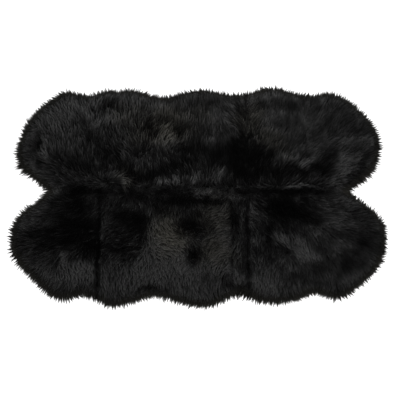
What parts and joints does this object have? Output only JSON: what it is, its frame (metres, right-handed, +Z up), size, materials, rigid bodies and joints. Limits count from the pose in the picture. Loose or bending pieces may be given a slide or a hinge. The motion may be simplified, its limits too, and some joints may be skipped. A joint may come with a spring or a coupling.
{
  "type": "faux fur rug",
  "caption": "Shaggy faux fur rug with scalloped, rounded outline and a notch at each end, laid flat on a floor, with loose locks of fur spread round its rim",
  "frame": {"origin": "on the floor in the middle of the rug's footprint, at the middle of the seam between its two pelts", "axes": "+X along the rug's length and the seam, to the right; +Y across the rug to the back, away from the viewer; +Z up from the floor"},
  "size_m": [1.8457, 1.1789, 0.0496],
  "materials": {
    "pelt_back": "shaggy faux fur, black",
    "pelt_front": "shaggy faux fur, black"
  },
  "bodies": {
    "root": {"pelt_back": "pelt_back", "pelt_front": "pelt_front"}
  },
  "joints": []
}
